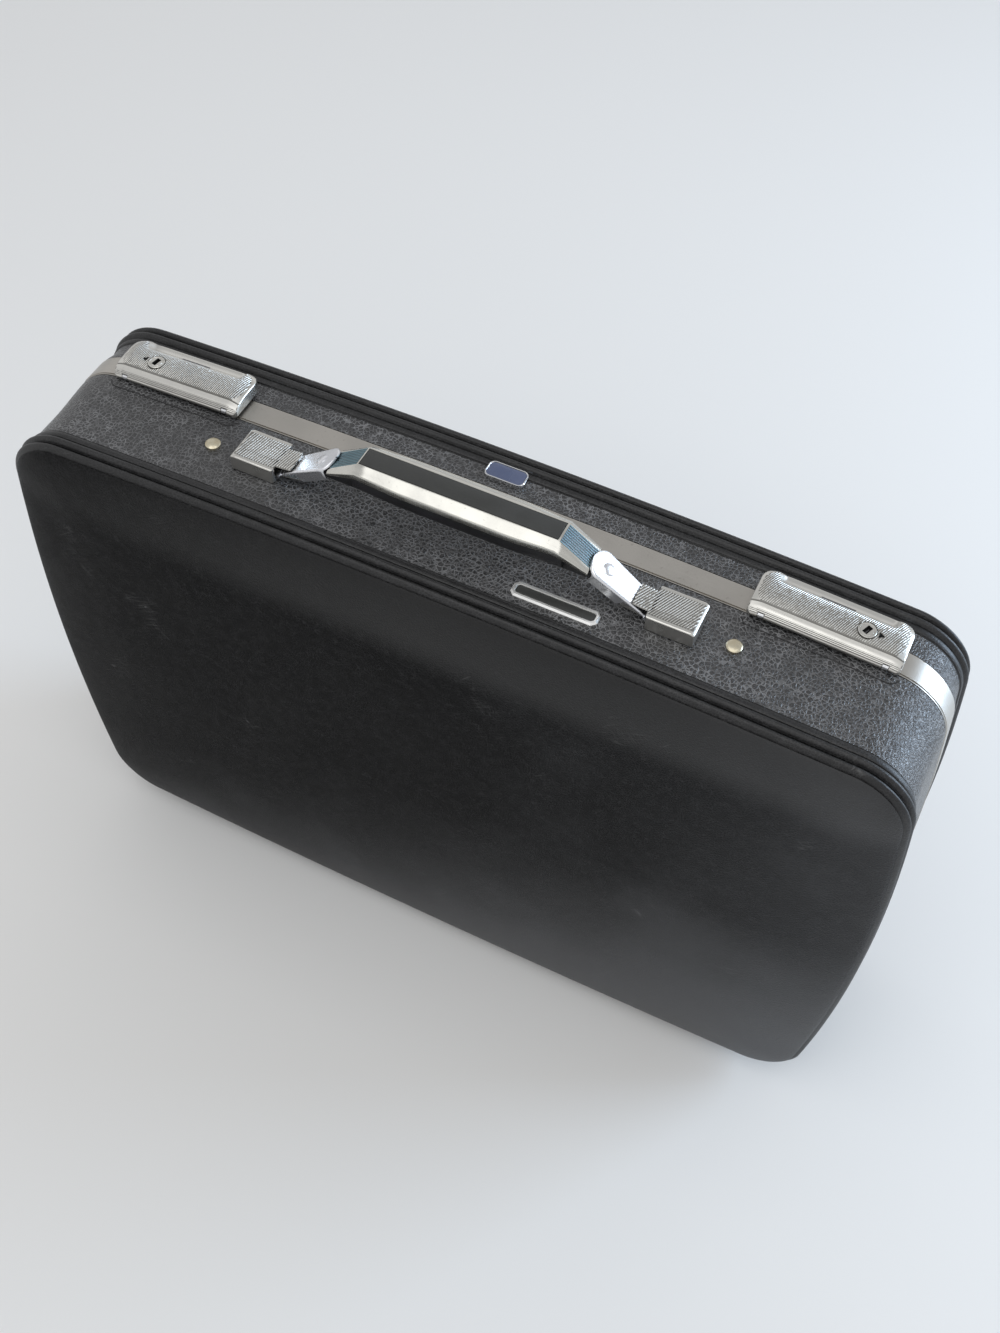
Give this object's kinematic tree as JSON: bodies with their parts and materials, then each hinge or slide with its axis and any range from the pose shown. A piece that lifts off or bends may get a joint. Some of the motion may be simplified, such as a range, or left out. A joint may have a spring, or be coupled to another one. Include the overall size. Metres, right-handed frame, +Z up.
{
  "type": "hard-shell travel case",
  "caption": "Hard-shell case with grained moulded halves, metal seam band, keyed flip latches, lifting carry handle and bottom-hinged lid.",
  "frame": {"origin": "on the ground under the middle of the case's bounding box", "axes": "+X along the width to the right as seen from the front, +Y from the front face to the lid, +Z up to the handle"},
  "size_m": [0.533, 0.1262, 0.3969],
  "materials": {
    "black_grained_shell": "moulded leather grain, satin",
    "satin_band": "satin brushed along its length",
    "chrome": "polished",
    "ribbed_nickel": "finely ribbed, satin",
    "dark_steel": "plain",
    "black_inlay": "flat, satin",
    "black_core": "smooth, satin",
    "lining_cloth": "woven",
    "cream_rivet": "lacquered, worn",
    "foot_rubber": "matte"
  },
  "bodies": {
    "case_base": {"base_shell": "black_grained_shell", "base_band": "satin_band", "base_lining": "lining_cloth", "base_foot_left": "foot_rubber", "base_foot_right": "foot_rubber", "rivet_left": "cream_rivet", "rivet_right": "cream_rivet", "name_plate_frame": "chrome", "name_plate_field": "black_inlay", "latch_left_base": "chrome", "latch_left_pin": "dark_steel", "latch_left_spring": "dark_steel", "latch_right_base": "chrome", "latch_right_pin": "dark_steel", "latch_right_spring": "dark_steel", "handle_mount_left_base": "dark_steel", "handle_mount_left_cover": "ribbed_nickel", "handle_mount_right_base": "dark_steel", "handle_mount_right_cover": "ribbed_nickel", "hinge_left_base_leaf": "dark_steel", "hinge_left_pin": "chrome", "hinge_right_base_leaf": "dark_steel", "hinge_right_pin": "chrome"},
    "lid": {"lid_shell": "black_grained_shell", "lid_rim": "satin_band", "lid_lining": "lining_cloth", "lid_foot_left": "foot_rubber", "lid_foot_right": "foot_rubber", "badge_plate": "ribbed_nickel", "latch_left_keeper": "chrome", "latch_right_keeper": "chrome", "hinge_left_lid_leaf": "dark_steel", "hinge_right_lid_leaf": "dark_steel"},
    "handle": {"handle_core": "black_core", "handle_cap": "chrome", "handle_inlay": "black_inlay", "handle_pin_left": "dark_steel", "handle_pin_right": "dark_steel"},
    "latch_left": {"latch_left_cover": "ribbed_nickel", "latch_left_hook": "dark_steel"},
    "lock_left": {"latch_left_lock": "chrome"},
    "link_left": {"handle_link_left": "chrome"},
    "latch_right": {"latch_right_cover": "ribbed_nickel", "latch_right_hook": "dark_steel"},
    "lock_right": {"latch_right_lock": "chrome"},
    "link_right": {"handle_link_right": "chrome"}
  },
  "joints": [
    {"name": "lid_hinge", "type": "hinge", "parent": "case_base", "child": "lid", "pos_m": [0, 0.02465, 0.0034], "axis": [-1, 0, 0], "range_deg": [0, 95]},
    {"name": "latch_left_lift", "type": "hinge", "parent": "case_base", "child": "latch_left", "pos_m": [-0.1861, 0.0086, 0.36393], "axis": [0.9989, 0, 0.0471], "range_deg": [0, 85]},
    {"name": "lock_left_turn", "type": "hinge", "parent": "latch_left", "child": "lock_left", "pos_m": [-0.20402, 0.0193, 0.3703], "axis": [-0.0471, 0, 0.9989], "range_deg": [0, 90]},
    {"name": "latch_right_lift", "type": "hinge", "parent": "case_base", "child": "latch_right", "pos_m": [0.1861, 0.0086, 0.36393], "axis": [0.9989, 0, -0.0471], "range_deg": [0, 85]},
    {"name": "lock_right_turn", "type": "hinge", "parent": "latch_right", "child": "lock_right", "pos_m": [0.20402, 0.0193, 0.3703], "axis": [0.0471, 0, 0.9989], "range_deg": [0, 90]},
    {"name": "handle_lift", "type": "slide", "parent": "case_base", "child": "handle", "axis": [0, 0, 1], "range_m": [0, 0.006]},
    {"name": "link_left_tilt", "type": "hinge", "parent": "handle", "child": "link_left", "pos_m": [-0.0747, -0.0119, 0.37965], "axis": [0, -1, 0], "range_deg": [0, 11.1]},
    {"name": "link_right_tilt", "type": "hinge", "parent": "handle", "child": "link_right", "pos_m": [0.0747, -0.0119, 0.37965], "axis": [0, 1, 0], "range_deg": [0, 11.1]}
  ],
  "couplings": [
    {"joint": "link_left_tilt", "follows": "handle_lift", "rad_per_m": 32},
    {"joint": "link_right_tilt", "follows": "handle_lift", "rad_per_m": 32}
  ]
}
